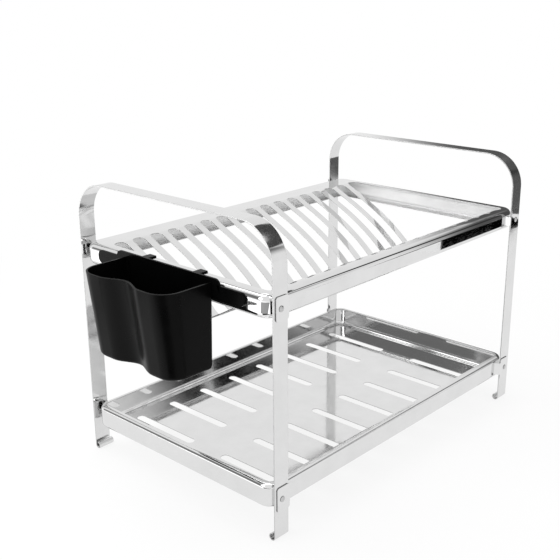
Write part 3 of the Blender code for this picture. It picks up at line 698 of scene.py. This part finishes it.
head_face = EAR_FACE + FIT_GAP
tail_face = POST_FACE - STRIP_THICKNESS - FIT_GAP
dome_radius = (RIVET_HEAD_RADIUS ** 2 + RIVET_HEAD_HEIGHT ** 2) / (2 * RIVET_HEAD_HEIGHT)
rim_angle = math.degrees(math.asin(RIVET_HEAD_RADIUS / dome_radius))
rivet_profile = arc((0, head_face + RIVET_HEAD_HEIGHT - dome_radius), dome_radius,
                    90, 90 - rim_angle, RIVET_HEAD_STEPS)
rivet_profile += [(RIVET_SHANK_RADIUS, head_face), (RIVET_SHANK_RADIUS, tail_face),
                  (RIVET_TAIL_RADIUS, tail_face), (RIVET_TAIL_RADIUS, tail_face - RIVET_TAIL_HEIGHT),
                  (0, tail_face - RIVET_TAIL_HEIGHT)]
for level in ("lower", "upper"):
    for depth_name, side_y in (("front", -1), ("back", 1)):
        for side_name in ("left", "right"):
            node = "_".join(("rivet", level, depth_name, side_name))
            low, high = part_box(node)
            centre = (low + high) / 2 / MM
            bm = bmesh.new()
            run(bm, rivet_profile, lambda radius, y: (radius, y, 0))
            bmesh.ops.spin(bm, geom=[*bm.verts, *bm.edges], cent=(0, 0, 0), axis=(0, 1, 0),
                           angle=math.tau, steps=ROUND_STEPS, use_merge=True)
            bmesh.ops.remove_doubles(bm, verts=bm.verts, dist=MERGE_DISTANCE)
            if side_y < 0:
                turn = Matrix.Rotation(math.pi, 3, "Z")
                bmesh.ops.rotate(bm, verts=bm.verts, cent=(0, 0, 0), matrix=turn)
            bmesh.ops.translate(bm, verts=bm.verts, vec=(centre.x, 0, centre.z))
            bmesh.ops.recalc_face_normals(bm, faces=bm.faces)
            rivet = link(node + "_headed", in_metres(bm), rivet_steel)
            smooth(rivet, RIVET_SHADING_ANGLE)
            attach(rivet, "drainer")
            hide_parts(node)


# Cutlery holder
# One injection moulding in black polypropylene: a two-lobed cup, drained through its base, on a flat
# plate that bears on the rack's end wall, with two hooks over the end border. It lifts off upwards.
HOLDER_REACH = 63.5
HOLDER_HALF_WIDTH = 63.5
HOLDER_RIM = RACK_TOP - 1
HOLDER_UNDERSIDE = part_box("cutlery_holder")[0][2] / MM
HOLDER_WALL = 2
HOLDER_BACK_STEP = 0.1
CUP_Y = -2.5
HOLDER_VALLEY_DEPTH = 9
HOLDER_VALLEY_HALF = 30
HOLDER_VALLEY_STEPS = 16
HOLDER_FRONT_ROUNDING = 22
HOLDER_FRONT_STEPS = 14
HOLDER_BACK_ROUNDING = 4
HOLDER_BACK_STEPS = 6
HOLDER_BASE_REACH = 53
HOLDER_BASE_HALF_WIDTH = 61
HOLDER_BASE_ROUNDING = 5
HOLDER_BASE_STEP = 15
HOLDER_EDGE_SHARE = 0.4
DRAIN_RADIUS = 3
DRAIN_COLUMNS = 4
DRAIN_PITCH = 22
DRAIN_ROW_PITCH = 20
HANGER_THICKNESS = 2.2
HANGER_HALF_WIDTH = 108
HANGER_HEIGHT = 14.5
HANGER_TOP = RACK_TOP - 2.5
HANGER_UNDERSIDE = HANGER_TOP - HANGER_HEIGHT
HANGER_ROUNDING = 6.5
HANGER_CORNER_STEPS = 12
HANGER_EDGE_ROUNDING = 0.45
BACK_HALF_WIDTH = 76
BACK_TOP = RACK_TOP + 3.5
HOOK_WIDTH = 10
HOOK_THICKNESS = 1.2
HOOK_SPACING = 76
HOOK_DROP = 10
MOULD_GRAIN_SIZE = 0.8
MOULD_GRAIN_DEPTH = 0.012
FLOW_SIZE = 22
FLOW_DEPTH = 0.12


def two_lobes(bm, reach, half_width, height):
    """The cup's outline at one height: a flat back, and two round lobes with a valley between them."""
    half = []
    for step in range(HOLDER_VALLEY_STEPS + 1):
        y = HOLDER_VALLEY_HALF * step / HOLDER_VALLEY_STEPS
        valley = HOLDER_VALLEY_DEPTH * (1 + math.cos(math.pi * y / HOLDER_VALLEY_HALF)) / 2
        half.append((valley - reach, y))
    front = HOLDER_FRONT_ROUNDING * reach / HOLDER_REACH
    half += arc((front - reach, half_width - front), front, 180, 90, HOLDER_FRONT_STEPS)
    back_x = -FIT_GAP - HOLDER_BACK_STEP - HOLDER_BACK_ROUNDING
    half += arc((back_x, half_width - HOLDER_BACK_ROUNDING), HOLDER_BACK_ROUNDING,
                90, 0, HOLDER_BACK_STEPS)
    points = half + [(x, -y) for x, y in reversed(half[1:])]
    return closed_loop(bm, points, lambda x, y: (LEFT_FACE + x, CUP_Y + y, height))


# Black polypropylene from a finely grained mould: a deep black with a soft sheen, slightly uneven where
# the plastic flowed. The mould's grain is drawn coarser than it is, so that it shows.
material, tree, output = new_material("moulded_black_polypropylene")
place = add_node(tree, "TexCoord", {})
grain = add_node(tree, "TexNoise", {"Vector": place.outputs["Object"],
                                    "Scale": 1 / (MOULD_GRAIN_SIZE * MM), "Detail": 3})
flow = add_node(tree, "TexNoise", {"Vector": place.outputs["Object"], "Scale": 1 / (FLOW_SIZE * MM),
                                   "Detail": 2})
colour = add_node(tree, "Mix", {"Factor": flow.outputs["Fac"], "A": linear("#040404"),
                                "B": linear("#080808")}, data_type="RGBA")
rough = add_node(tree, "MapRange", {"Value": flow.outputs["Fac"], "From Min": 0.3, "From Max": 0.7,
                                    "To Min": 0.26, "To Max": 0.36})
uneven = add_node(tree, "Bump", {"Height": flow.outputs["Fac"], "Distance": FLOW_DEPTH * MM,
                                 "Strength": 1})
grained = add_node(tree, "Bump", {"Height": grain.outputs["Fac"], "Distance": MOULD_GRAIN_DEPTH * MM,
                                  "Strength": 1, "Normal": uneven.outputs[0]})
shader = add_node(tree, "BsdfPrincipled",
                  {"Base Color": colour.outputs["Result"], "IOR": 1.49, "Specular IOR Level": 0.06,
                   "Roughness": rough.outputs[0], "Normal": grained.outputs[0]})
tree.links.new(shader.outputs[0], output.inputs["Surface"])
black_plastic = material

bm = bmesh.new()
loops = [two_lobes(bm, HOLDER_REACH, HOLDER_HALF_WIDTH, HOLDER_RIM)]
for angle in range(0, 90 + HOLDER_BASE_STEP, HOLDER_BASE_STEP):
    inset = HOLDER_BASE_ROUNDING * (1 - math.cos(math.radians(angle)))
    height = HOLDER_UNDERSIDE + HOLDER_BASE_ROUNDING * (1 - math.sin(math.radians(angle)))
    loops.append(two_lobes(bm, HOLDER_BASE_REACH - inset, HOLDER_BASE_HALF_WIDTH - inset, height))
for upper, lower in zip(loops, loops[1:]):
    bmesh.ops.bridge_loops(bm, edges=upper + lower)
bmesh.ops.triangle_fill(bm, edges=loops[-1], use_beauty=True, normal=Vector((0, 0, -1)))
face_out(bm, min, lambda normal: normal.z < 0)
holder = link("cutlery_holder_moulding", in_metres(bm), black_plastic)
thicken(holder, HOLDER_WALL, -1)
soften(holder, HOLDER_WALL * HOLDER_EDGE_SHARE, segments=4, degrees=60)
apply_all(holder)

for half_width, low, high in ((HANGER_HALF_WIDTH, HANGER_UNDERSIDE, HANGER_TOP),
                              (BACK_HALF_WIDTH, HANGER_UNDERSIDE, BACK_TOP)):
    bm = bmesh.new()
    outline = rounded_rectangle(half_width, (high - low) / 2, HANGER_ROUNDING, HANGER_CORNER_STEPS)
    edges = closed_loop(bm, outline, lambda y, z: (LEFT_FACE - FIT_GAP, y, (low + high) / 2 + z))
    bmesh.ops.triangle_fill(bm, edges=edges, use_beauty=True, normal=Vector((1, 0, 0)))
    face_out(bm, max, lambda normal: normal.x > 0)
    plate = link("plate", in_metres(bm), black_plastic)
    thicken(plate, HANGER_THICKNESS, -1)
    soften(plate, HANGER_EDGE_ROUNDING, segments=3)
    apply_all(plate)
    combine(holder, plate, "UNION")

inner = RACK_END_BORDER + FIT_GAP
seat = RACK_TOP + FIT_GAP
outer = inner + HOOK_THICKNESS
hook_top = seat + HOOK_THICKNESS
hook_back = -FIT_GAP - HANGER_THICKNESS / 2
hook_section = ((hook_back, hook_top), (outer, hook_top), (outer, seat - HOOK_DROP),
                (inner, seat - HOOK_DROP), (inner, seat), (hook_back, seat))
for side in SIDES:
    bm = bmesh.new()
    start = side * HOOK_SPACING / 2 - HOOK_WIDTH / 2
    edges = closed_loop(bm, hook_section, lambda x, z: (LEFT_FACE + x, start, z))
    face = bmesh.ops.contextual_create(bm, geom=edges)["faces"]
    grown = bmesh.ops.extrude_face_region(bm, geom=face)["geom"]
    verts = [item for item in grown if isinstance(item, bmesh.types.BMVert)]
    bmesh.ops.translate(bm, verts=verts, vec=(0, HOOK_WIDTH, 0))
    bmesh.ops.recalc_face_normals(bm, faces=bm.faces)
    hook = link("hook", in_metres(bm), black_plastic)
    soften(hook, HANGER_EDGE_ROUNDING, segments=3)
    apply_all(hook)
    combine(holder, hook, "UNION")

for row in SIDES:
    for column in range(DRAIN_COLUMNS):
        bm = bmesh.new()
        bmesh.ops.create_cone(bm, cap_ends=True, segments=ROUND_STEPS, radius1=DRAIN_RADIUS,
                              radius2=DRAIN_RADIUS, depth=3 * HOLDER_WALL)
        centre = (LEFT_FACE - HOLDER_BASE_REACH / 2 + row * DRAIN_ROW_PITCH / 2,
                  CUP_Y + (column - (DRAIN_COLUMNS - 1) / 2) * DRAIN_PITCH,
                  HOLDER_UNDERSIDE + HOLDER_WALL / 2)
        bmesh.ops.translate(bm, verts=bm.verts, vec=centre)
        combine(holder, link("drain", in_metres(bm)), "DIFFERENCE")
smooth(holder)
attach(holder, "holder")
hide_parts("cutlery_holder")
